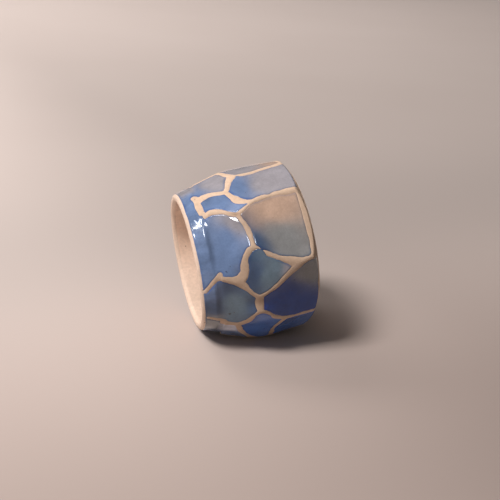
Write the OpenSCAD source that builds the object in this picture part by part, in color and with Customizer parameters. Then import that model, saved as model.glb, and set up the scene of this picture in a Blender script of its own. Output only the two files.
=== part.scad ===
// Short ceramic guitar slide, ring type.
// One fired clay ring, carved with flat facets. Every facet carries its own pool of
// coloured glaze, and the bare clay between the pools shows as a net of narrow lines.
//
// Frame: the bore runs along X, small end at -X, wide end at +X, origin at the middle
// of the bore, Z up. "Along" is measured in mm from the small end. "Around" is in
// degrees about the bore: 0 faces -Y, 90 faces +Z.

/* [Ring] */
// Bore diameter, to fit a finger, mm
bore_d = 19; // [17.5:0.1:19.5]
// Length from the rim to the foot face, mm
body_len = 18.1; // [17.8:0.1:18.6]
// Widest diameter of the ring before its facets are cut, mm
belly_d = 28.2; // [28:0.1:28.8]
// Where the widest part lies, along the ring, mm
belly_at = 10.5; // [10.2:0.1:11]
// Wall at the rounded rim of the small end, mm
rim_wall = 1.4; // [1.2:0.05:1.5]
// Diameter of the lip, where the round band of the small end meets the facets, mm
lip_d = 22.7; // [22.5:0.1:22.9]
// Where that band ends, along the ring, mm
lip_at = 2.15; // [2.05:0.05:2.25]
// Outside diameter of the flat foot at the wide end, mm
foot_d = 22.6; // [22:0.1:23.4]
// How far the bore's edge is rounded at the wide end, mm
mouth_round = 0.5; // [0.3:0.05:0.7]

/* [Facets] */
// Station of the row of facets nearest the small end, along the ring, mm
near_at = 5; // [4.8:0.05:5.2]
// Station of the small facets between the two rows, along the ring, mm
mid_at = 9; // [8.8:0.05:9.2]
// Station of the row of facets nearest the wide end, along the ring, mm
far_at = 13; // [12.8:0.05:13.2]
// Extra depth cut from every facet, mm
extra_depth = 0; // [0:0.01:0.1]

/* [Glaze] */
// Depth of a glaze pool, mm
glaze_t = 0.3; // [0.2:0.05:0.4]
// Width of the bare clay line between two pools, mm
line_w = 0.9; // [0.7:0.05:1.2]
// How far each corner of a pool is rounded, mm
pool_round = 1; // [0.4:0.1:1.2]
// Where the glazed band of the small end starts, along the ring, mm
band_from = 1; // [0.9:0.05:1.2]
// Where the glazed band of the small end stops, along the ring, mm
band_to = 2; // [1.7:0.05:2.05]
// Where the pools of the near row start, along the ring, mm
pools_from = 2.85; // [2.8:0.05:3.2]
// Bare shoulder left between the far row and the foot face, mm
bare_shoulder = 1.1; // [1:0.05:1.5]

/* [Hidden] */
bore_r = bore_d / 2;
belly_r = belly_d / 2;
foot_r = foot_d / 2;
nose_r = rim_wall / 2;
rim_r = bore_r + rim_wall;
pools_to = body_len - bare_shoulder;
lip_r = lip_d / 2;
big = 60;

clay = [0.86, 0.73, 0.62];
cobalt = [0.31, 0.40, 0.60];
navy = [0.17, 0.21, 0.38];
teal = [0.36, 0.45, 0.52];
wash = [0.66, 0.60, 0.57];

// Facets as they were cut by hand: [around, depth below the blank, lean toward the small end].
near_cuts = [[88, 1.2, 14], [63, 1.05, 13], [30, 1.55, 15], [-14, 1.45, 16], [-53, 0.8, 20],
             [-92, 1.3, 16], [-133, 1.5, 15], [-176, 1.55, 14], [146, 1.45, 14], [117, 1.25, 14]];
mid_cuts = [[5, 1.35, 5], [-45, 1.2, 6], [-118, 1.4, 4], [160, 1.4, 4]];
far_cuts = [[104, 1.3, 0], [75, 1.5, 0], [34, 1.85, -4], [-13, 1.8, -5], [-49, 1.15, -4],
            [-92, 1.5, -2], [-138, 1.7, -3], [-178, 1.6, -3], [138, 1.6, -2]];

// Outside radius of the uncut ring: a swelling up to the belly, then a shoulder that rolls into the foot.
function barrel(s) = s < belly_at
    ? belly_r - (belly_r - rim_r) * pow((belly_at - s) / (belly_at - nose_r), 2)
    : belly_r - (belly_r - foot_r) * pow((s - belly_at) / (body_len - belly_at), 6);
// The band of the small end is a plain cone from the rim's nose to the lip.
function lip(s) = rim_r + (lip_r - rim_r) * (s - nose_r) / (lip_at - nose_r);

// A facet is [around, radius at its station, lean, station].
function row(cuts, at) = [for (c = cuts) [c[0], barrel(at) - c[1] - extra_depth, c[2], at]];
facets = concat(row(near_cuts, near_at), row(mid_cuts, mid_at), row(far_cuts, far_at));

function radial(a) = [0, -cos(a), sin(a)];
function tangent(a) = [0, sin(a), cos(a)];
function facet_mid(f) = [f[3] - body_len / 2, 0, 0] + f[1] * radial(f[0]);
function facet_out(f) = [-sin(f[2]), 0, 0] + cos(f[2]) * radial(f[0]);
function facet_run(f) = [cos(f[2]), 0, 0] + sin(f[2]) * radial(f[0]);

// Where the plane "out . p = reach" crosses facet f, as a line [a, b, c] in the facet's own
// plane with a x + b y <= c inside, moved inward by the inset.
function crossing(f, out, reach, inset) =
    let (a = out * facet_run(f), b = out * tangent(f[0]), s = norm([a, b]))
    [a / s, b / s, (reach - out * facet_mid(f)) / s - inset];
function cut_line(pts, l) = [for (i = [0:len(pts) - 1])
    let (p = pts[i], q = pts[(i + 1) % len(pts)],
         dp = p * [l[0], l[1]] - l[2], dq = q * [l[0], l[1]] - l[2])
    each concat(dp <= 0 ? [p] : [], (dp < 0) != (dq < 0) ? [p + (q - p) * dp / (dp - dq)] : [])];
function cut_lines(pts, lines, i = 0) =
    i == len(lines) ? pts : cut_lines(cut_line(pts, lines[i]), lines, i + 1);
function rounded(pts) = [for (i = [0:len(pts) - 1])
    let (n = len(pts), p = pts[(i + n - 1) % n], v = pts[i], q = pts[(i + 1) % n],
         t = min(pool_round, 0.45 * norm(p - v), 0.45 * norm(q - v)),
         a = t * (p - v) / norm(p - v), b = t * (q - v) / norm(q - v))
    each [v + a, v + (a + b) / 4, v + b]];

// Outline of the pool on facet k, in the facet's own plane: x runs along the ring, y around it.
function pool_outline(k) = let (f = facets[k]) rounded(cut_lines(
    [[-20, -20], [20, -20], [20, 20], [-20, 20]],
    concat([for (j = [0:len(facets) - 1]) if (j != k)
                crossing(f, facet_out(facets[j]), facet_out(facets[j]) * facet_mid(facets[j]), line_w / 2)],
           [crossing(f, [-1, 0, 0], body_len / 2 - pools_from, 0),
            crossing(f, [1, 0, 0], pools_to - body_len / 2, 0)])));

// Ring outline as [radius, along], turned about the bore.
nose = [for (a = [0:15:180]) [bore_r + nose_r - nose_r * cos(a), nose_r - nose_r * sin(a)]];
flank = [for (i = [0:9]) let (s = lip_at + 1 + (belly_at - lip_at - 1) * i / 9) [barrel(s), s]];
shoulder = [for (i = [1:8]) let (s = belly_at + (body_len - belly_at) * pow(i / 8, 0.6)) [barrel(s), s]];
mouth = [for (a = [0:22.5:90])
    [bore_r + mouth_round * (1 - sin(a)), body_len - mouth_round * (1 - cos(a))]];
ring_outline = concat(nose, [[lip_r, lip_at]], flank, shoulder, mouth);
band_outline = [[lip(band_from), band_from], [lip(band_to), band_to],
                [lip(band_to) - glaze_t, band_to], [lip(band_from) - glaze_t, band_from]];

module turned(outline) {
    translate([-body_len / 2, 0, 0]) rotate([0, 90, 0]) rotate_extrude($fn = 120) polygon(outline);
}

// Puts the child on facet f, lying in the facet's plane with its z pointing outward.
module on_facet(f) {
    translate([f[3] - body_len / 2, 0, 0]) rotate([90 - f[0], 0, 0])
        translate([0, 0, f[1]]) rotate([0, -f[2], 0]) children();
}

module pool(k, tone, proud = 0) {
    color(tone) on_facet(facets[k]) translate([0, 0, -glaze_t])
        linear_extrude(glaze_t + proud) polygon(pool_outline(k));
}

module band(proud = 0) {
    color(cobalt) turned(band_outline + [[proud, 0], [proud, 0], [0, 0], [0, 0]]);
}

// Everything inside all the facets at once.
module facet_core() {
    intersection_for (f = facets) on_facet(f) translate([-big / 2, -big / 2, -big]) cube(big);
}

// Keeps the facets off the band of the small end, and slopes from the lip down to them.
module lip_guard() {
    turned([[0, -2], [20, -2], [20, lip_at - 0.6], [lip_r + 0.6, lip_at - 0.6],
            [lip_r - 1, lip_at + 1], [0, lip_at + 1]]);
}

module clay_body() {
    color(clay) difference() {
        intersection() {
            turned(ring_outline);
            union() {
                facet_core();
                lip_guard();
            }
        }
        for (k = [0:len(facets) - 1]) pool(k, clay, 1);
        band(1);
    }
}

module lip_band() { band(); }
module near_pool_1() { pool(0, wash); }
module near_pool_2() { pool(1, cobalt); }
module near_pool_3() { pool(2, cobalt); }
module near_pool_4() { pool(3, teal); }
module near_pool_5() { pool(4, navy); }
module near_pool_6() { pool(5, teal); }
module near_pool_7() { pool(6, cobalt); }
module near_pool_8() { pool(7, wash); }
module near_pool_9() { pool(8, cobalt); }
module near_pool_10() { pool(9, teal); }
module mid_pool_1() { pool(10, teal); }
module mid_pool_2() { pool(11, navy); }
module mid_pool_3() { pool(12, cobalt); }
module mid_pool_4() { pool(13, teal); }
module far_pool_1() { pool(14, wash); }
module far_pool_2() { pool(15, wash); }
module far_pool_3() { pool(16, wash); }
module far_pool_4() { pool(17, navy); }
module far_pool_5() { pool(18, navy); }
module far_pool_6() { pool(19, teal); }
module far_pool_7() { pool(20, cobalt); }
module far_pool_8() { pool(21, wash); }
module far_pool_9() { pool(22, teal); }

clay_body();
lip_band();
near_pool_1();
near_pool_2();
near_pool_3();
near_pool_4();
near_pool_5();
near_pool_6();
near_pool_7();
near_pool_8();
near_pool_9();
near_pool_10();
mid_pool_1();
mid_pool_2();
mid_pool_3();
mid_pool_4();
far_pool_1();
far_pool_2();
far_pool_3();
far_pool_4();
far_pool_5();
far_pool_6();
far_pool_7();
far_pool_8();
far_pool_9();
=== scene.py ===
import bpy
import math
import numpy as np
from mathutils import Matrix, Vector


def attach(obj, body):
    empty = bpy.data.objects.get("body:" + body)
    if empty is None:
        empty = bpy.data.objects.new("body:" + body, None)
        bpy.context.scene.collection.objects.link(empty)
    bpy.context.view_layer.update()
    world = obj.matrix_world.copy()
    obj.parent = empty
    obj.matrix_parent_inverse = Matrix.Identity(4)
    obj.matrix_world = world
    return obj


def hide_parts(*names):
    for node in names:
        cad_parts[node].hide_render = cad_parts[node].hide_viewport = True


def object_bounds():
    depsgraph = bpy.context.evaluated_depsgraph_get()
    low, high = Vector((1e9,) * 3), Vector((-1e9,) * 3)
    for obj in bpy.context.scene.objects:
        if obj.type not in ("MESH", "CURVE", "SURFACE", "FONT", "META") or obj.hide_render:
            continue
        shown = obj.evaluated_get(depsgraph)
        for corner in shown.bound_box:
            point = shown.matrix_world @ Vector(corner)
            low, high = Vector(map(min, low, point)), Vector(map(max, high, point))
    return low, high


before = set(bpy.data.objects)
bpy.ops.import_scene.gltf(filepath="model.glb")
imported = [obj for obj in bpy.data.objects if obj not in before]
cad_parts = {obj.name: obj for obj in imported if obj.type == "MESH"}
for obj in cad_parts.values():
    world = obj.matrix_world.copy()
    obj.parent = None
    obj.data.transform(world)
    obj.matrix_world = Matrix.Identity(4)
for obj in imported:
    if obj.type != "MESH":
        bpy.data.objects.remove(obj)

cad_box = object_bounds()

# The ring is shaped in mm: "along" runs from the small end, "around" is in degrees about
# the bore, 0 facing -Y and 90 facing +Z. These repeat the sizes in the part's source.
BORE_R, RIM_WALL, LIP_R, LIP_AT = 9.5, 1.4, 11.35, 2.15
BELLY_R, BELLY_AT, FOOT_R, MOUTH = 14.1, 10.5, 11.3, 0.5
LENGTH = (cad_box[1].x - cad_box[0].x) * 1000
MID = LENGTH / 2
RIM_R, NOSE = BORE_R + RIM_WALL, RIM_WALL / 2

# One degree about the bore, in mm: on the belly, on the glaze in general and on the lip.
BELLY_DEGREE, GLAZE_DEGREE, LIP_DEGREE = 0.227, 0.22, 0.205

FACETS = (["near_pool_%d" % k for k in range(1, 11)] + ["mid_pool_%d" % k for k in range(1, 5)]
          + ["far_pool_%d" % k for k in range(1, 10)])


# ------------------------------------------------------------------ small tools
def lattice(ix, iy, iz, seed):
    h = (ix * 374761393 + iy * 668265263 + iz * 1440662683 + seed * 1274126177) & 0xFFFFFFFF
    h = ((h ^ (h >> 13)) * 1274126177) & 0xFFFFFFFF
    return ((h ^ (h >> 16)) & 0xFFFFFF) / float(0xFFFFFF)


def noise(p, size, seed):
    """Smooth value noise from -1 to 1 at points p (..., 3), with lumps of that size in mm."""
    q = p / size + 100.0
    i = np.floor(q).astype(np.int64)
    f = q - i
    f = f * f * (3 - 2 * f)
    total = 0
    for dx in (0, 1):
        for dy in (0, 1):
            for dz in (0, 1):
                w = ((f[..., 0] if dx else 1 - f[..., 0]) * (f[..., 1] if dy else 1 - f[..., 1])
                     * (f[..., 2] if dz else 1 - f[..., 2]))
                total = total + w * lattice(i[..., 0] + dx, i[..., 1] + dy, i[..., 2] + dz, seed)
    return 2 * total - 1


def smooth_min(a, b, k):
    h = np.clip(0.5 + 0.5 * (b - a) / k, 0, 1)
    return b * (1 - h) + a * h - k * h * (1 - h)


def ease(a, b, x):
    t = np.clip((x - a) / (b - a), 0, 1)
    return t * t * (3 - 2 * t)


def turn_between(a, b):
    return (a - b + 180) % 360 - 180


def hump(around, along, at_around, at_along, size):
    """A soft round hump, 1 high and that many mm wide, at a place on the outside."""
    off = (turn_between(around, at_around) * BELLY_DEGREE) ** 2 + (along - at_along) ** 2
    return np.exp(-off / (2 * size ** 2))


def linear(rgb):
    c = np.asarray(rgb, float) / 255
    return np.where(c < 0.04045, c / 12.92, ((c + 0.055) / 1.055) ** 2.4)


def place(around, along, r):
    t = np.radians(around)
    return np.stack(np.broadcast_arrays(along - MID, -r * np.cos(t), r * np.sin(t)), -1)


# ------------------------------------------------------------------ the facets, read from the frame
def facet_plane(name):
    """Outward normal and reach, in mm, of the flat top of a glaze pool."""
    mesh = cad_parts[name].data
    top = max((p for p in mesh.polygons
               if p.normal.y * p.center.y + p.normal.z * p.center.z > 0.004), key=lambda p: p.area)
    return tuple(top.normal), top.normal.dot(top.center) * 1000


planes = [facet_plane(name) for name in FACETS]
NORMAL = np.array([p[0] for p in planes])
REACH = np.array([p[1] for p in planes])

# Where the carver's hand drew a corner of the net off the straight cut:
# around, along, then how far the corner was drawn around and along, mm. Each draw dies away
# over DRAW_REACH.
DRAW_REACH = 1.7
DRAWN = [
    (87, 8.5, -0.9, -1.0), (69, 6.8, -0.9, 0.6), (50, 8.2, -0.9, -1.2), (23, 8.1, 1.4, -0.9),
    (12, 6.9, 0.3, -0.2), (50, 8.0, 0.0, 0.4), (4, 5.8, -1.4, 1.0), (-3, 11.3, -1.1, 0.3),
    (-13, 8.4, -2.6, -0.1), (-21, 8.5, 2.8, -0.4), (8, 14.2, -0.5, 0.6), (-38, 4.9, -0.1, 0.9),
    (56, 4.4, 1.2, 0.0), (52, 8.4, 0.5, 0.2), (90, 11.0, -2.3, 0.0), (90, 14.8, -1.0, 0.0),
    (59, 7.4, -0.8, -0.6), (-67, 10.8, 0.1, 1.4), (146, 8.6, 0.8, 0.9), (-128, 8.4, -0.9, 0.7),
    (-160, 9.0, 0.9, -0.8), (168, 7.6, -0.8, 0.9),
]


def drawn(around, along):
    a, s = around + 0.0, along + 0.0
    for ca, cs, da, ds in DRAWN:
        w = hump(around, along, ca, cs, DRAW_REACH)
        a, s = a - w * da / BELLY_DEGREE, s - w * ds
    return a, s


def plane_radii(around, along):
    """Distance from the axis to every facet's plane, and that plane's slope there."""
    t, x = np.radians(around), along - MID
    radii, slopes = [], []
    for n, h in zip(NORMAL, REACH):
        c = -n[1] * np.cos(t) + n[2] * np.sin(t)
        radii.append(np.where(c > 0.2, (h - n[0] * x) / np.maximum(c, 0.2), 60.0))
        slopes.append(np.maximum(c, 0.2))
    return np.array(radii), np.array(slopes)


# Soft swellings left by the hand: around, along, size and height in mm.
SWELLS = [
    (112, 13, 5.0, 0.3), (96, 17, 2.5, 0.15), (150, 9, 4.0, -0.1), (-140, 13, 4.5, -0.12),
]


def blank(along):
    front = BELLY_R - (BELLY_R - RIM_R) * ((BELLY_AT - along) / (BELLY_AT - NOSE)) ** 2
    rise = np.clip(along - BELLY_AT, 0, None) / (LENGTH - BELLY_AT)
    return np.where(along < BELLY_AT, front, BELLY_R - (BELLY_R - FOOT_R) * rise ** 6)


# Small flats worn on a facet's corner: the facet, where, which way the flat faces (around,
# lean toward the small end), and how deep it cuts there, mm.
WORN = [("near_pool_3", 45.5, 6.6, 41, 8, 0.10)]


# How far the meeting of two surfaces is rounded, mm: facet ridges, the step behind the lip,
# the blank's uncut parts, and the nose.
RIDGE_ROUND, LIP_ROUND, BLANK_ROUND, NOSE_ROUND = 0.08, 0.8, 0.18, 0.3


def skin(around, along, radii):
    """Radius of the finished outside, before any glaze bed is sunk."""
    low = radii.min(0)
    flats = low - RIDGE_ROUND * np.log(np.exp(-np.minimum(radii - low, 5) / RIDGE_ROUND).sum(0))
    for facet, a, s, faces, lean, deep in WORN:
        faces, lean = math.radians(faces), math.radians(lean)
        n = np.array([-math.sin(lean), -math.cos(lean) * math.cos(faces), math.cos(lean) * math.sin(faces)])
        level = n @ place(a, s, plane_radii(*drawn(a, s))[0].min() - deep)
        toward = -n[1] * np.cos(np.radians(around)) + n[2] * np.sin(np.radians(around))
        own = FACETS.index(facet)
        others = np.delete(radii, own, 0).min(0)
        inside = ease(-0.2, 0.05, others - radii[own]) * (toward > 0.5)
        worn = (level - n[0] * (along - MID)) / np.maximum(toward, 0.5)
        cut = flats - smooth_min(flats, worn, 0.04)
        flats = flats - inside * np.clip(cut, 0, 0.5)
    guard = LIP_R - (along - LIP_AT)
    flats = np.where(along < LIP_AT + 1.9, -smooth_min(-flats, -guard, LIP_ROUND), flats)
    cone = RIM_R + (LIP_R - RIM_R) * (along - NOSE) / (LIP_AT - NOSE)
    nose = BORE_R + NOSE + np.sqrt(np.maximum(NOSE ** 2 - np.clip(NOSE - along, 0, NOSE) ** 2, 0))
    cone = np.where(along < NOSE, nose, cone)
    r = smooth_min(flats, blank(along) + np.where(along < 3, 2, 0), BLANK_ROUND)
    r = smooth_min(r, cone + np.clip(along - LIP_AT - 1, 0, None) * 4, NOSE_ROUND)
    p = place(around, along, 12.0)
    for a, s, size, high in SWELLS:
        r = r + high * hump(around, along, a, s, size)
    hand = 0.05 * noise(p, 6.0, 3) + 0.018 * noise(p, 2.2, 4)
    return np.minimum(r + hand * ease(0.3, 1.2, along), BELLY_R)


# ------------------------------------------------------------------ fields: where each glaze lies
# Wide blobs of bare clay and breaks of glaze across a line: around, along, size and how much, mm.
BLOBS = [
    (88, 8.3, 1.1, 0.35), (83, 10.4, 1.2, 0.35), (84, 13.6, 1.4, 0.25), (70, 3.4, 0.5, 0.2),
    (-17, 8.4, 1.0, 0.45), (2, 5.4, 1.1, 0.36), (71, 4.0, 1.5, 0.22), (8, 14.2, 1.1, 0.3),
    (68, 2.7, 0.9, 0.4), (57, 3.6, 1.3, 0.1), (58, 7.7, 0.7, 0.4), (12, 8.5, 0.55, 0.35),
    (-36, 3.2, 1.0, 0.2), (94, 11.5, 0.9, 0.15), (22, 8.0, 0.7, 0.15), (55, 15.8, 0.9, 0.3),
    (130, 8, 1.0, 0.3), (-110, 8, 1.0, 0.3), (165, 9, 1.0, 0.3),
]
BREAKS = [
    (28, 8.5, 0.6, 0.14), (19.5, 9.2, 0.45, 0.75), (84, 9.4, 0.4, 0.5), (58, 12.6, 0.3, 0.35),
    (-120, 11, 0.4, 0.5),
]


def bumps(around, along, spots):
    """Sum of the humps at these spots."""
    total = 0.0
    for a, s, size, much in spots:
        total = total + much * hump(around, along, a, s, size)
    return total


BARE_HALF = 0.37


def half_line(around, along, p):
    """Half width of the bare line, in mm; below zero the glaze runs across."""
    w = BARE_HALF + 0.12 * noise(p, 2.6, 11) + 0.08 * noise(p, 0.9, 12) + 0.05 * noise(p, 0.4, 13)
    w = w + bumps(around, along, BLOBS) - bumps(around, along, BREAKS)
    return w - 1.2 * (1 - ease(2.15, 2.75, along))                    # the lines close up at the band


def capsule(around, along, ends):
    """Distance in mm on the surface from a short stroke between two places."""
    (a0, s0), (a1, s1) = ends
    px, py = turn_between(around, a0) * LIP_DEGREE, along - s0
    dx, dy = turn_between(a1, a0) * LIP_DEGREE, s1 - s0
    t = np.clip((px * dx + py * dy) / (dx * dx + dy * dy), 0, 1)
    return np.hypot(px - t * dx, py - t * dy)


# Bare strokes that run on from the net into the band of the small end: ends and half width.
STROKES = [
    (((77, 2.3), (58, 2.5)), 0.5),
    (((9, 3.1), (-3, 0.7)), 0.34),
    (((-34, 3.2), (-31, 0.9)), 0.3),
    (((104, 3.0), (104, 2.2)), 0.3),
    (((-112, 3.2), (-113, 1.2)), 0.34),
    (((164, 3.0), (160, 1.0)), 0.34),
]

# How far each far facet's glaze runs toward the foot, mm along.
FAR_END = {"far_pool_1": 16.7, "far_pool_2": 17.5, "far_pool_3": 16.9, "far_pool_4": 17.8,
           "far_pool_5": 17.7, "far_pool_6": 16.9, "far_pool_7": 17.5, "far_pool_8": 16.8, "far_pool_9": 17.2}


def near_edge(around, p):
    """Where the band of the small end hands over to the near row."""
    return 2.3 + 0.08 * noise(p, 3.0, 21)


def strokes_clear(around, along, p):
    """Distance in mm to the nearest bare stroke."""
    d = 9.0
    for ends, w in STROKES:
        d = np.minimum(d, capsule(around, along, ends) - w * (1 + 0.25 * noise(p, 1.2, 23)))
    return d


# How far corners are rounded where two bare lines meet, where a stroke joins a line, and at
# the foot, mm; and how far beyond a facet's own flat its field is worked out.
CORNER_ROUND, STROKE_ROUND, FOOT_ROUND, FIELD_REACH = 0.12, 0.3, 0.4, 2.5
MID_ROW_FROM = 3.2


def pool_fields(around, along, radii, slopes, p):
    """For every facet: the field that is positive where its glaze lies, and the distance to bare clay."""
    w = half_line(around, along, p)
    stroke = strokes_clear(around, along, p)
    hand_over = along - near_edge(around, p)
    fields, clears = [], []
    low = radii.min(0)
    for i, name in enumerate(FACETS):
        near = radii[i] - low < FIELD_REACH
        clear = np.full(around.shape, -3.0)
        d = np.full(near.sum(), 9.0)
        ri = radii[i][near]
        for j in range(len(FACETS)):
            if j == i:
                continue
            tilt = float(NORMAL[i] @ NORMAL[j])
            if tilt < 0.2:
                continue
            dj = (radii[j][near] - ri) * slopes[j][near] / math.sqrt(1 - tilt * tilt)
            d = smooth_min(d, np.clip(dj, -3, 9), CORNER_ROUND)
        clear[near] = d - w[near]
        clear = smooth_min(clear, stroke, STROKE_ROUND)
        if name.startswith("far"):
            end = FAR_END[name] + 0.16 * noise(p, 2.4, 31) + 0.06 * noise(p, 0.9, 32)
            clear = smooth_min(clear, end - along, FOOT_ROUND)
        start = hand_over if name.startswith("near") else along - MID_ROW_FROM
        fields.append(np.minimum(clear, start))
        clears.append(clear)
    return fields, clears


def band_field(around, along, p):
    """The same two fields for the band of the small end."""
    start = 0.42 + 0.06 * noise(p, 1.6, 41)
    clear = smooth_min(along - start, strokes_clear(around, along, p), 0.15)
    return np.minimum(clear, near_edge(around, p) - along), clear


# ------------------------------------------------------------------ colours of the glazes
# The glazes' tones, from thin washes to deep pools: red, green, blue (0 to 255).
PEARL, SAND, WASH, ASH = (210, 210, 220), (190, 160, 140), (150, 145, 150), (130, 130, 130)
COBALT, TEAL, SLATE = (100, 120, 155), (100, 120, 135), (60, 80, 110)
ROYAL, NAVY = (75, 110, 175), (30, 60, 125)
# The tones laid in each pool: degrees round and mm along from the pool's middle, and the tone.
WASHES = {
    "near_pool_1": [(0, -3, COBALT), (0, 1, WASH)],
    "near_pool_2": [(0, 0, COBALT)],
    "near_pool_3": [(0, 0, COBALT), (-15, 0, COBALT), (15, 3, WASH)],
    "near_pool_4": [(15, -1, SLATE), (0, 0, TEAL), (0, 3, SLATE)],
    "near_pool_5": [(10, 0, PEARL), (-5, 1, COBALT)],
    "near_pool_6": [(0, 0, TEAL)],
    "near_pool_7": [(0, 0, COBALT)],
    "near_pool_8": [(0, 0, WASH)],
    "near_pool_9": [(0, 0, COBALT)],
    "near_pool_10": [(0, 0, TEAL)],
    "mid_pool_1": [(0, -2, SLATE), (0, 1, TEAL), (0, 4, WASH)],
    "mid_pool_2": [(0, 0, ROYAL)],
    "mid_pool_3": [(0, 0, COBALT)],
    "mid_pool_4": [(0, 0, TEAL)],
    "far_pool_1": [(0, -2, WASH), (0, 5, SAND)],
    "far_pool_2": [(0, -5, COBALT), (0, 1, WASH)],
    "far_pool_3": [(15, 0, SAND), (-10, 0, ASH), (-12, -5, SLATE)],
    "far_pool_4": [(15, 3, ASH), (0, -2, NAVY), (-15, 1, NAVY)],
    "far_pool_5": [(0, 0, ROYAL)],
    "far_pool_6": [(0, 0, TEAL)],
    "far_pool_7": [(0, 0, COBALT)],
    "far_pool_8": [(0, 0, WASH)],
    "far_pool_9": [(0, 0, TEAL)],
}
# The band's tones round the small end: degrees, and the tone.
BAND_MIDDLE = 1.4
BAND_TONES = [
    (100, WASH), (70, COBALT), (0, COBALT), (-20, SLATE), (-35, ASH), (-75, COBALT), (-150, COBALT),
]
# Iron flecks: around, along, size in mm.
FLECKS = [
    (-26, 3.9, 0.15), (63, 9.6, 0.07), (12, 4.9, 0.06), (40, 12.5, 0.05), (160, 5.0, 0.12),
    (-110, 14.0, 0.1),
]


def shades(tone):
    """A single glaze still varies over its pool: darker at one corner, bluer or warmer at others."""
    base = np.array(tone)
    return [
        (0, 0, base),
        (10, -2.5, base * 0.86),
        (-9, 2.5, base * 1.12 + (8, 2, -4)),
        (-10, -2.0, base * 0.95 + (-6, 0, 10)),
        (9, 2.0, base + (10, 4, -2)),
    ]


def washed(spots, around, along):
    """Tones run into each other, weighted by nearness."""
    total, weight = 0.0, 1e-9
    for a, s, *rgb in spots:
        d2 = (turn_between(around, a) * GLAZE_DEGREE) ** 2 + (along - s) ** 2
        w = 1 / (d2 + 0.6) ** 2
        total = total + w[:, None] * linear(rgb)
        weight = weight + w
    return total / np.reshape(weight, (-1, 1))


def tone_of(name, around, along, clear, p):
    """Colour of a glaze: its tones run into each other, then pool darker along the bare line."""
    band_spots = [(a, BAND_MIDDLE, *tone) for a, tone in BAND_TONES]
    spots = band_spots
    if name != "lip_band":
        middle_a, middle_s = np.degrees(np.arctan2(p[:, 2].mean(), -p[:, 1].mean())), along.mean()
        laid = WASHES[name] if len(WASHES[name]) > 1 else shades(WASHES[name][0][2])
        spots = [(middle_a + turn, middle_s + step, *tone) for turn, step, tone in laid]
    q = p + 0.55 * np.stack([noise(p, 2.4, 51), noise(p, 2.4, 52), noise(p, 2.4, 53)], -1)
    along = q[:, 0] + MID
    around = np.degrees(np.arctan2(q[:, 2], -q[:, 1]))
    c = washed(spots, around, along)
    if name.startswith("near"):                                       # the band's tone at the hand-over
        edge = washed(band_spots, around, along)
        c = edge + (c - edge) * ease(1.9, 4.2, along)[:, None]
    c = c * (1 + 0.10 * noise(p, 1.7, 61) + 0.05 * noise(p, 0.7, 62))[:, None]
    for a, s, size in FLECKS:
        d2 = (turn_between(around, a) * GLAZE_DEGREE) ** 2 + (along - s) ** 2
        c = c * (1 - np.array([0.55, 0.72, 0.85]) * np.exp(-(d2 / size ** 2) ** 2)[:, None])
    pooled = (1 - ease(0.0, 0.45, clear)) * (0.5 + 0.75 * noise(p, 1.8, 63))
    deep = c * np.array([0.5, 0.62, 0.86])
    return np.clip(c + (deep - c) * np.clip(pooled, 0, 1)[:, None], 0.002, 1)


# ------------------------------------------------------------------ meshes
AROUND = np.arange(-180, 180, 1 / 3)
ALONG = np.arange(0.2, LENGTH - 0.12, 0.062)
grid_a, grid_s = np.meshgrid(AROUND, ALONG, indexing="ij")
warp_a, warp_s = drawn(grid_a, grid_s)
radii, slopes = plane_radii(warp_a, warp_s)
grid_r = skin(grid_a, grid_s, radii)
grid_p = place(grid_a, grid_s, grid_r)
fields, clears = pool_fields(grid_a, grid_s, radii, slopes, grid_p)
band, band_clear = band_field(grid_a, grid_s, grid_p)


def add_mesh(name, verts, faces, colours=None, edges=None):
    mesh = bpy.data.meshes.new(name)
    mesh.from_pydata((np.asarray(verts) * 0.001).tolist(), [], faces)
    mesh.polygons.foreach_set("use_smooth", [True] * len(mesh.polygons))
    if colours is not None:
        layer = mesh.color_attributes.new("tone", "FLOAT_COLOR", "POINT")
        layer.data.foreach_set("color", np.concatenate([colours, np.ones((len(colours), 1))], 1).ravel())
    if edges is not None:
        mesh.attributes.new("clear", "FLOAT", "POINT").data.foreach_set("value", np.asarray(edges, float))
    mesh.update()
    obj = bpy.data.objects.new(name, mesh)
    bpy.context.collection.objects.link(obj)
    return obj


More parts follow.
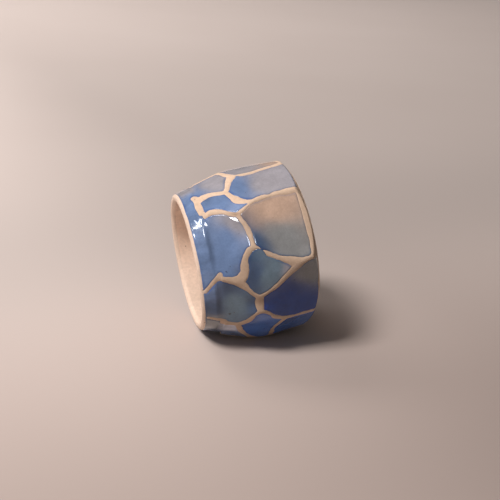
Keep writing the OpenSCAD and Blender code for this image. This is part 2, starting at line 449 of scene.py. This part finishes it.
def glaze_piece(name, node, field, clear, thick=0.24):
    """A closed slip of glaze: the grid where the field is positive, trimmed at its zero line."""
    na, ns = field.shape
    inside = field > 0
    ids, around, along, r, edge = {}, [], [], [], []

    def vertex(key):
        if key not in ids:
            (i, j), (k, l) = key
            f0, f1 = field[i % na, j], field[k % na, l]
            t = 0.0 if (i, j) == (k, l) else min(0.97, max(0.03, f0 / (f0 - f1)))
            mix = lambda g: g[i % na, j] * (1 - t) + g[k % na, l] * t
            ids[key] = len(around)
            around.append(AROUND[i % na] + t * (k - i) * (AROUND[1] - AROUND[0]))
            along.append(mix(grid_s))
            r.append(mix(grid_r))
            edge.append(mix(clear))
        return ids[key]

    corners = (inside[:, :-1].astype(int) + inside[:, 1:] + np.roll(inside, -1, 0)[:, :-1]
               + np.roll(inside, -1, 0)[:, 1:])
    faces, rim = [], []
    for i, j in zip(*np.nonzero(corners)):
        loop = [(i, j), (i, j + 1), ((i + 1), j + 1), ((i + 1), j)]
        wrap = lambda n: (n[0] % na, n[1])
        if corners[i, j] == 4:
            faces.append([vertex((wrap(n), wrap(n))) for n in loop])
            continue
        face, cuts = [], []
        for n, m in zip(loop, loop[1:] + loop[:1]):
            n_in, m_in = inside[n[0] % na, n[1]], inside[m[0] % na, m[1]]
            if n_in:
                face.append(vertex((wrap(n), wrap(n))))
            if n_in != m_in:
                a, b = (n, m) if (n[0] + n[1]) < (m[0] + m[1]) else (m, n)
                base = wrap(a)
                v = vertex((base, (base[0] + b[0] - a[0], b[1])))
                face.append(v)
                cuts.append((v, n_in))
        faces.append(face)
        for c in range(len(cuts)):
            if cuts[c][1]:
                rim.append((cuts[c][0], cuts[(c + 1) % len(cuts)][0]))
    around, along, r, edge = map(np.array, (around, along, r, edge))
    count = len(around)
    flat = place(around, along, r)
    lift = 0.02 - 0.06 * (1 - np.clip(edge / 0.2, 0, 1)) ** 2
    ripple = 0.012 * noise(flat, 1.9, 71) + 0.006 * noise(flat, 0.8, 72)
    ripple += 0.03 * (1 - ease(1.5, 2.3, along)) * noise(flat * (2.2, 1, 1), 1.9, 73)
    top = place(around, along, r + lift + ripple)
    under = place(around, along, r - thick)
    colours = tone_of(node, around, along, edge, flat)
    faces += [[v + count for v in reversed(f)] for f in faces]
    faces += [[b, a, a + count, b + count] for a, b in rim]
    obj = add_mesh(name, np.concatenate([top, under]), faces, np.concatenate([colours, colours]),
                   np.concatenate([edge, edge]))
    obj.data.set_sharp_from_angle(angle=math.radians(60))
    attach(obj, "root")
    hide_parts(node)
    return obj


# The clay skin starts this far behind the tip of the nose, and its corner at the foot is eased
# over FOOT_EASE along and FOOT_DROP inward, mm.
SKIN_FROM, FOOT_EASE, FOOT_DROP = 0.2, 0.18, 0.28


def clay_outside(a, s):
    """Radius of the fired clay's outside, with its glaze beds sunk."""
    rad, slo = plane_radii(*drawn(a, s))
    r = skin(a, s, rad)
    p = place(a, s, r)
    pools, _ = pool_fields(a, s, rad, slo, p)
    ring_band, _ = band_field(a, s, p)
    field = np.maximum(np.max(pools, 0), ring_band)
    r = r - 0.03 * ease(-0.2, 0.0, field) - 0.15 * ease(-0.02, 0.16, field)
    return r + 0.012 * noise(p, 0.7, 81)


def ring_section(turns, s, r):
    """The closed section at every turn, nose to bore, and the number of its rows before the outside."""
    full = lambda value: np.full(len(turns), value)
    rows = []
    nose_end = math.pi - math.asin(1 - SKIN_FROM / NOSE)
    for k in range(1, 14):                                            # nose, from the bore out to the skin
        t = nose_end * k / 14
        rows.append((full(NOSE - NOSE * math.sin(t)), full(BORE_R + NOSE - NOSE * math.cos(t))))
    nose_rows = len(rows)
    rows += list(zip(s.T, r.T))
    foot = r[:, -1]
    for k in range(1, 6):                                             # eased corner of the foot
        t = math.pi / 2 * k / 5
        corner = full(LENGTH - FOOT_EASE + FOOT_EASE * math.sin(t))
        rows.append((corner, foot - FOOT_DROP * (1 - math.cos(t))))
    face = foot - FOOT_DROP
    for k in range(1, 6):                                             # foot face
        rows.append((full(LENGTH), face + (BORE_R + MOUTH - face) * k / 5))
    for k in range(1, 8):                                             # rounded mouth of the bore
        t = math.pi / 2 * k / 7
        rows.append((full(LENGTH - MOUTH * (1 - math.cos(t))), full(BORE_R + MOUTH * (1 - math.sin(t)))))
    for k in range(1, 40):                                            # bore
        rows.append((full(LENGTH - MOUTH + (NOSE - LENGTH + MOUTH) * k / 39), full(BORE_R)))
    return np.array([row[0] for row in rows]).T, np.array([row[1] for row in rows]).T, nose_rows


def clay_tones_and_painted_light(a, s, around, rows, first):
    """Tone of the clay, with painted light and shade: the net is warmer than the rim and the bore, and
    darker, partly a stain from the glaze and partly painted shade; the net is painted lighter toward its top;
    inside the bore there is painted light on the far wall, painted shade lower down toward the floor, and a
    little painted light deep in.
    """
    outside = slice(first, first + a.shape[1])
    last = outside.stop
    net = np.zeros(around.shape)
    net[:, outside] = ease(0.5, 1.2, s)
    # Painted light and shade on the net: darkest near the front and underneath, lighter toward the top.
    painted_lit = np.ones(around.shape)
    above = 0.5 + 0.5 * np.sin(np.radians(a))
    painted_lit[:, outside] = 0.68 + 0.22 * ease(25, 65, np.abs(turn_between(a, 2))) * above
    # A little painted light deep inside the bore.
    bore = (np.arange(rows) > last + 10).astype(float)
    bright = painted_lit * net + (1 - net) + 0.05 * bore
    # Painted light on the bore's far wall and painted shade on its lower far side, toward the floor.
    sky = 0.22 * np.exp(-(turn_between(around, 180) / 40) ** 2)
    painted_floor_shade = 0.2 * np.exp(-(turn_between(around, -115) / 40) ** 2)
    bright = bright * (1 + (np.arange(rows) > last) * (sky - painted_floor_shade))
    return bright.reshape(-1, 1) * (1 + net.reshape(-1, 1) * np.array([0.05, -0.02, -0.11]))


def clay_piece():
    """The fired ring: nose, outside with its glaze beds, foot, rounded mouth and bore, as one closed skin."""
    turns = np.arange(-180, 180, 0.6)
    along = np.concatenate([np.arange(SKIN_FROM, 3, 0.06), np.arange(3, LENGTH - 0.3, 0.075),
                            [LENGTH - 0.25, LENGTH - FOOT_EASE]])
    a, s = np.meshgrid(turns, along, indexing="ij")
    section_s, section_r, first = ring_section(turns, s, clay_outside(a, s))
    around = np.repeat(turns[:, None], section_s.shape[1], 1)
    q = place(around, section_s, section_r)
    bare = np.ones(section_s.shape[1])                                # dents only where no glaze lies
    bare[first:first + len(along)] = 0
    dent = 0.03 * noise(q, 3.5, 91) + 0.012 * noise(q, 1.1, 92)
    section_r = section_r - (0.02 + dent) * bare * np.clip(np.abs(section_s - LENGTH) / 0.5, 0, 1)
    n, m = section_s.shape
    here = np.arange(n * m).reshape(n, m)
    turned = np.roll(here, -1, 0)
    corners = [here, np.roll(here, -1, 1), np.roll(turned, -1, 1), turned]
    faces = np.stack(corners, -1).reshape(-1, 4).tolist()
    verts = place(around, section_s, section_r).reshape(-1, 3)
    obj = add_mesh("clay_ring", verts, faces, clay_tones_and_painted_light(a, s, around, m, first))
    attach(obj, "root")
    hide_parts("clay_body")
    return obj


# ------------------------------------------------------------------ materials
def new_material(name):
    mat = bpy.data.materials.new(name)
    mat.use_nodes = True
    tree = mat.node_tree
    return mat, tree, tree.nodes["Principled BSDF"]


def noise_node(tree, coords, scale, detail=3, rough=0.55, stretch=None):
    n = tree.nodes.new("ShaderNodeTexNoise")
    n.inputs["Scale"].default_value = scale
    n.inputs["Detail"].default_value = detail
    n.inputs["Roughness"].default_value = rough
    source = coords
    if stretch:
        m = tree.nodes.new("ShaderNodeMapping")
        m.inputs["Scale"].default_value = stretch
        tree.links.new(coords, m.inputs["Vector"])
        source = m.outputs["Vector"]
    tree.links.new(source, n.inputs["Vector"])
    return n.outputs["Fac"]


def ramp(tree, fac, stops):
    r = tree.nodes.new("ShaderNodeValToRGB")
    while len(r.color_ramp.elements) < len(stops):
        r.color_ramp.elements.new(0.5)
    for e, (at, value) in zip(r.color_ramp.elements, stops):
        e.position = at
        e.color = (*value, 1) if hasattr(value, "__len__") else (value, value, value, 1)
    tree.links.new(fac, r.inputs["Fac"])
    return r.outputs["Color"]


def mixed(tree, fac, a, b, how="MIX"):
    m = tree.nodes.new("ShaderNodeMix")
    m.data_type, m.blend_type = "RGBA", how
    for socket, value in ((m.inputs["Factor"], fac), (m.inputs[6], a), (m.inputs[7], b)):
        if hasattr(value, "links"):
            tree.links.new(value, socket)
        elif hasattr(value, "__len__"):
            socket.default_value = (*value, 1)
        else:
            socket.default_value = value
    return m.outputs[2]


def bump(tree, height, strength, distance, below=None):
    b = tree.nodes.new("ShaderNodeBump")
    b.inputs["Strength"].default_value = strength
    b.inputs["Distance"].default_value = distance
    tree.links.new(height, b.inputs["Height"])
    if below is not None:
        tree.links.new(below, b.inputs["Normal"])
    return b.outputs["Normal"]


def glaze_material(name, speck, cloud, streak=None):
    """Glossy fired glaze: the tones laid on the mesh, clouded, flecked and streaked, under a clear skin."""
    mat, tree, shader = new_material(name)
    coords = tree.nodes.new("ShaderNodeTexCoord").outputs["Object"]
    tone = tree.nodes.new("ShaderNodeAttribute")
    tone.attribute_name = "tone"
    colour = tone.outputs["Color"]
    clouds = ramp(tree, noise_node(tree, coords, 620, 4, 0.6), [(0.32, 1 - cloud), (0.68, 1 + cloud)])
    colour = mixed(tree, 1.0, colour, clouds, "MULTIPLY")
    grain = ramp(tree, noise_node(tree, coords, 3400, 2, 0.6), [(0.3, 0.94), (0.7, 1.06)])
    colour = mixed(tree, 1.0, colour, grain, "MULTIPLY")
    if streak:
        lines = ramp(tree, noise_node(tree, coords, 500, 3, 0.6, streak), [(0.35, 0.78), (0.62, 1.16)])
        colour = mixed(tree, 1.0, colour, lines, "MULTIPLY")
    flecks = ramp(tree, noise_node(tree, coords, 1500, 2, 0.5), [(0.735, 0.0), (0.775, 1.0)])
    colour = mixed(tree, flecks, colour, speck)
    tree.links.new(colour, shader.inputs["Base Color"])
    rough = ramp(tree, noise_node(tree, coords, 900, 3), [(0.3, 0.07), (0.75, 0.16)])
    tree.links.new(rough, shader.inputs["Roughness"])
    shader.inputs["IOR"].default_value = 1.5
    shader.inputs["Coat Weight"].default_value = 0.25
    shader.inputs["Coat Roughness"].default_value = 0.05
    soft = bump(tree, noise_node(tree, coords, 700, 2), 0.25, 0.00004)
    fine = bump(tree, noise_node(tree, coords, 2600, 2), 0.12, 0.00002, soft)
    tree.links.new(fine, shader.inputs["Normal"])
    return mat


def clay_material():
    """Bare fired clay with a satin skin: creamy, grainy, stained here and there."""
    mat, tree, shader = new_material("fired_clay")
    coords = tree.nodes.new("ShaderNodeTexCoord").outputs["Object"]
    broad = ramp(tree, noise_node(tree, coords, 160, 4, 0.6),
                 [(0.3, (0.61, 0.46, 0.36)), (0.7, (0.73, 0.56, 0.45))])
    grain = ramp(tree, noise_node(tree, coords, 2300, 4, 0.65), [(0.3, 0.9), (0.7, 1.07)])
    # The tone attribute carries the clay's tint together with its painted light and shade.
    tone = tree.nodes.new("ShaderNodeAttribute")
    tone.attribute_name = "tone"
    broad = mixed(tree, 1.0, broad, tone.outputs["Color"], "MULTIPLY")
    colour = mixed(tree, 1.0, broad, grain, "MULTIPLY")
    stain = ramp(tree, noise_node(tree, coords, 420, 3, 0.6), [(0.60, 0.0), (0.78, 0.35)])
    colour = mixed(tree, stain, colour, (0.42, 0.33, 0.29))
    pits = ramp(tree, noise_node(tree, coords, 1700, 1, 0.5), [(0.76, 0.0), (0.80, 1.0)])
    colour = mixed(tree, pits, colour, (0.22, 0.13, 0.08))
    tree.links.new(colour, shader.inputs["Base Color"])
    rough = ramp(tree, noise_node(tree, coords, 900, 3), [(0.3, 0.5), (0.75, 0.72)])
    tree.links.new(rough, shader.inputs["Roughness"])
    shader.inputs["Specular IOR Level"].default_value = 0.35
    soft = bump(tree, noise_node(tree, coords, 800, 3), 0.35, 0.00006)
    fine = bump(tree, noise_node(tree, coords, 3600, 4, 0.7), 0.35, 0.00003, soft)
    tree.links.new(fine, shader.inputs["Normal"])
    return mat


IRON = (0.10, 0.07, 0.05)
GLAZES = {
    "cobalt_glaze": glaze_material("cobalt_glaze", (0.05, 0.06, 0.13), 0.07),
    "navy_glaze": glaze_material("navy_glaze", (0.02, 0.02, 0.05), 0.10),
    "teal_glaze": glaze_material("teal_glaze", IRON, 0.08),
    "pale_glaze": glaze_material("pale_glaze", (0.24, 0.20, 0.22), 0.06),
    "band_glaze": glaze_material("band_glaze", (0.05, 0.06, 0.13), 0.08, (0.25, 1.0, 1.0)),
}
SLOTS = {"near_pool_1": "pale", "near_pool_2": "cobalt", "near_pool_3": "cobalt", "near_pool_4": "teal",
         "near_pool_5": "navy", "near_pool_6": "teal", "near_pool_7": "cobalt", "near_pool_8": "pale",
         "near_pool_9": "cobalt", "near_pool_10": "teal", "mid_pool_1": "teal", "mid_pool_2": "navy",
         "mid_pool_3": "cobalt", "mid_pool_4": "teal", "far_pool_1": "pale", "far_pool_2": "pale",
         "far_pool_3": "pale", "far_pool_4": "navy", "far_pool_5": "navy", "far_pool_6": "teal",
         "far_pool_7": "cobalt", "far_pool_8": "pale", "far_pool_9": "teal"}

# ------------------------------------------------------------------ pieces
clay_piece().data.materials.append(clay_material())
for name, field, clear in zip(FACETS, fields, clears):
    slot = SLOTS[name] + "_glaze"
    glaze_piece(name.replace("pool", "glaze"), name, field, clear).data.materials.append(GLAZES[slot])
lip_glaze = glaze_piece("lip_glaze", "lip_band", band, band_clear)
lip_glaze.data.materials.append(GLAZES["band_glaze"])

# ------------------------------------------------------------------ floor
# The ring lies on its lip and belly, so in the ring's own frame the floor is tilted.
FLOOR_UP = np.array([0.165, -0.03, 0.986])
FLOOR_AWAY = np.array([-0.25, 1.0, 0.0])
FLOOR_HALF, FLOOR_STEPS, FLOOR_GAP = 900.0, 160, 0.02


def floor_painted_light(away, across):
    """The paper's tone, mm from the ring, painted with light and shade: a darker band just behind the ring,
    lighter far off, darker toward the front and darker to the right; it also warms toward the front.
    """
    tone = 0.95 - 0.11 * np.exp(-((away - 40) / 38) ** 2)
    tone = tone + 0.42 * ease(60, 460, away) - 0.37 * ease(20, -60, away)
    tone = tone * (1 - 0.32 * ease(-34, 42, across))
    warm = ease(50, -50, away)
    return np.stack([tone, tone * (1 - 0.06 * warm), tone * (1 - 0.085 * warm)], -1)


def floor_piece():
    """The floor's mesh, just under the lowest point of the ring."""
    up = FLOOR_UP / np.linalg.norm(FLOOR_UP)
    away = FLOOR_AWAY - up * (up @ FLOOR_AWAY)
    away /= np.linalg.norm(away)
    across = np.cross(away, up)
    level = float((grid_p.reshape(-1, 3) @ up).min()) - FLOOR_GAP
    line = np.linspace(-1, 1, FLOOR_STEPS)
    line = np.sign(line) * line ** 2 * FLOOR_HALF                     # finer near the ring
    verts = np.array([up * level + across * u + away * v for u in line for v in line])
    faces = []
    for i in range(FLOOR_STEPS - 1):
        for j in range(FLOOR_STEPS - 1):
            k = i * FLOOR_STEPS + j
            faces.append((k, k + FLOOR_STEPS, k + FLOOR_STEPS + 1, k + 1))
    return add_mesh("floor", verts, faces, floor_painted_light(verts @ away, verts @ across))


def paper_material():
    """Pale matt paper, multiplied by the painted light and shade laid in the floor's tone attribute."""
    mat, tree, shader = new_material("pale_paper")
    coords = tree.nodes.new("ShaderNodeTexCoord").outputs["Object"]
    paper = ramp(tree, noise_node(tree, coords, 9, 2), [(0.3, (0.60, 0.51, 0.47)), (0.7, (0.62, 0.53, 0.49))])
    tone = tree.nodes.new("ShaderNodeAttribute")
    tone.attribute_name = "tone"
    colour = mixed(tree, 1.0, paper, tone.outputs["Color"], "MULTIPLY")
    tree.links.new(colour, shader.inputs["Base Color"])
    shader.inputs["Roughness"].default_value = 0.85
    shader.inputs["Specular IOR Level"].default_value = 0.1
    return mat


floor = floor_piece()
floor.data.materials.append(paper_material())

# ------------------------------------------------------------------ light
world = bpy.data.worlds.new("studio")
world.use_nodes = True
world.node_tree.nodes["Background"].inputs["Color"].default_value = (0.95, 0.92, 0.92, 1)
world.node_tree.nodes["Background"].inputs["Strength"].default_value = 0.15
bpy.context.scene.world = world


WARM_LIGHT, WHITE_LIGHT = (1, 0.97, 0.95), (1, 0.98, 0.97)


def softbox(name, direction, distance, width, height, power, colour, mirrored, aim=(0, 0, 0)):
    """A rectangular lamp: a mirrored one shows only as a reflection, the others only light."""
    d = np.array(direction, float)
    d /= np.linalg.norm(d)
    lamp = bpy.data.lights.new(name, "AREA")
    lamp.shape, lamp.size, lamp.size_y = "RECTANGLE", width, height
    lamp.energy, lamp.color = power, colour
    obj = bpy.data.objects.new(name, lamp)
    obj.visible_glossy, obj.visible_diffuse = mirrored, not mirrored
    side = np.cross([0, 0, 1], d)
    side /= np.linalg.norm(side)
    m = np.eye(4)
    m[:3, 0], m[:3, 1], m[:3, 2], m[:3, 3] = side, np.cross(d, side), d, d * distance + np.array(aim)
    obj.matrix_world = Matrix(m.tolist())
    bpy.context.collection.objects.link(obj)


softbox("key", (-0.40, -0.22, 0.89), 1.30, 0.36, 0.34, 19.5, WARM_LIGHT, mirrored=False)
softbox("window", (-0.06, -0.48, 0.88), 1.30, 0.22, 0.20, 7.5, WHITE_LIGHT, mirrored=True)
softbox("strip", (-0.41, -0.24, 0.88), 1.30, 0.05, 0.50, 3.4, WHITE_LIGHT, mirrored=True)
softbox("skylight", (-0.32, -0.14, 0.93), 1.30, 0.36, 0.06, 1.6, WHITE_LIGHT, mirrored=True)
softbox("side", (-0.90, -0.40, 0.30), 0.9, 0.5, 0.3, 1.0, WARM_LIGHT, mirrored=False)
softbox("wash", (-0.10, -0.35, 0.90), 0.5, 0.3, 0.3, 1.8, WARM_LIGHT, mirrored=False,
        aim=(-0.12, 0.50, 0))

bpy.context.scene.view_settings.view_transform = "Standard"

# ------------------------------------------------------------------ camera
az, el, roll = map(math.radians, (-12.2, 22.0, -6.8))
back = np.array([math.sin(az) * math.cos(el), -math.cos(az) * math.cos(el), math.sin(el)])
right = np.array([math.cos(az), math.sin(az), 0])
up = np.cross(back, right)
cam = bpy.data.objects.new("camera", bpy.data.cameras.new("camera"))
m = np.eye(4)
m[:3, 0] = math.cos(roll) * right + math.sin(roll) * up
m[:3, 1] = -math.sin(roll) * right + math.cos(roll) * up
m[:3, 2] = back
m[:3, 3] = back * 0.1427 + np.array([(9.4 - MID) * 0.001, 0, 0])
cam.matrix_world = Matrix(m.tolist())
cam.data.sensor_width, cam.data.lens = 36, 64.8
cam.data.shift_x, cam.data.shift_y = 0.0132, 0.0022
cam.data.clip_start, cam.data.clip_end = 0.01, 10
bpy.context.collection.objects.link(cam)
bpy.context.scene.camera = cam
